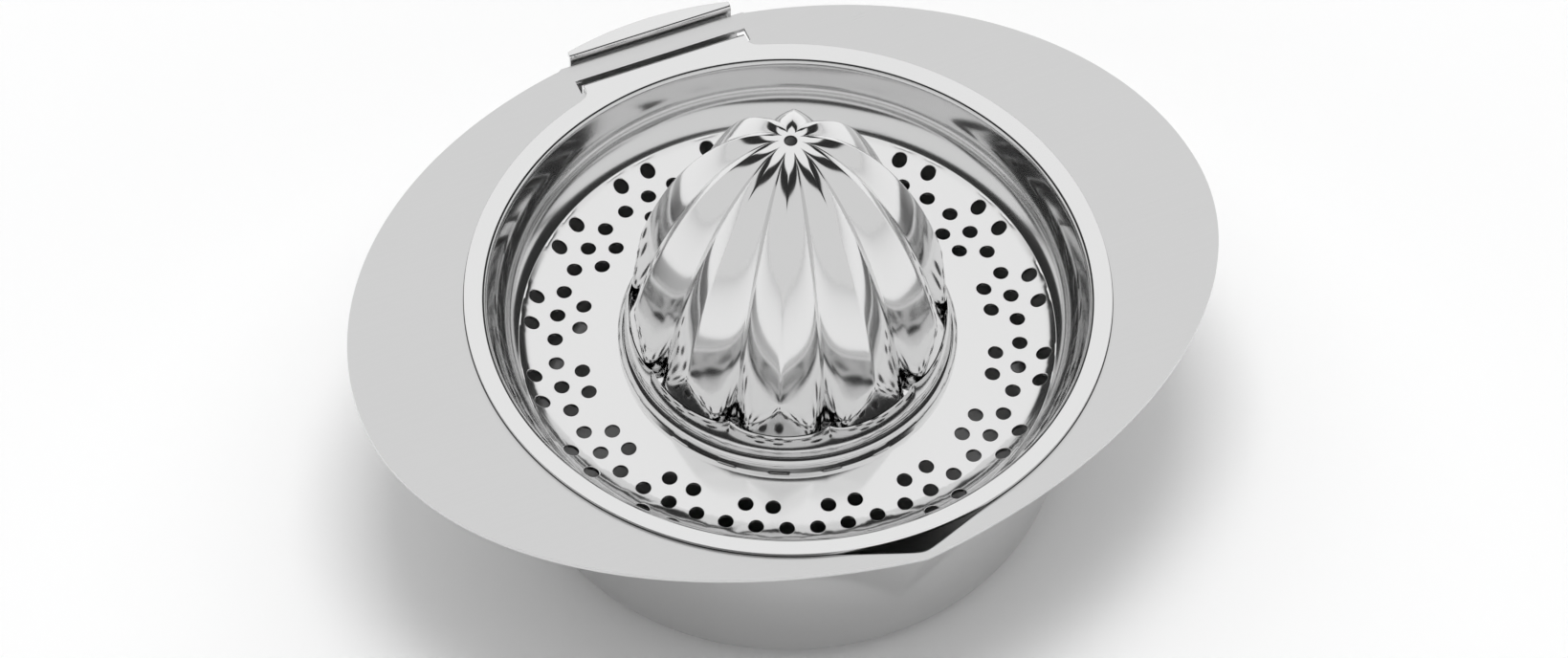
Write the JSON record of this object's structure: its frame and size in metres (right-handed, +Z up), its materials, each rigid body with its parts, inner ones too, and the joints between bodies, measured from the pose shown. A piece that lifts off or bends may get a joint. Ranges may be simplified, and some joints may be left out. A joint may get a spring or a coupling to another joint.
{
  "type": "hand citrus squeezer",
  "caption": "Steel juice bowl with an oval brim and pour spout, and a hook-in squeezer insert with a fluted reamer cone over a perforated strainer floor.",
  "frame": {"origin": "centre of the bowl's flat base, on the surface it stands on", "axes": "+X along the long way of the brim, +Y towards the thumb grip, -Y towards the spout, +Z up"},
  "size_m": [0.175, 0.1423, 0.0948],
  "materials": {
    "satin_steel": "fine satin",
    "polished_steel": "polished"
  },
  "bodies": {
    "bowl": {"juice_bowl": "satin_steel"},
    "insert": {"strainer_dish": "polished_steel", "reamer_cone": "polished_steel"}
  },
  "joints": [
    {"name": "insert_tilt", "type": "hinge", "parent": "bowl", "child": "insert", "pos_m": [0, 0.06765, 0.0466], "axis": [-1, 0, 0], "range_deg": [0, 90]}
  ]
}
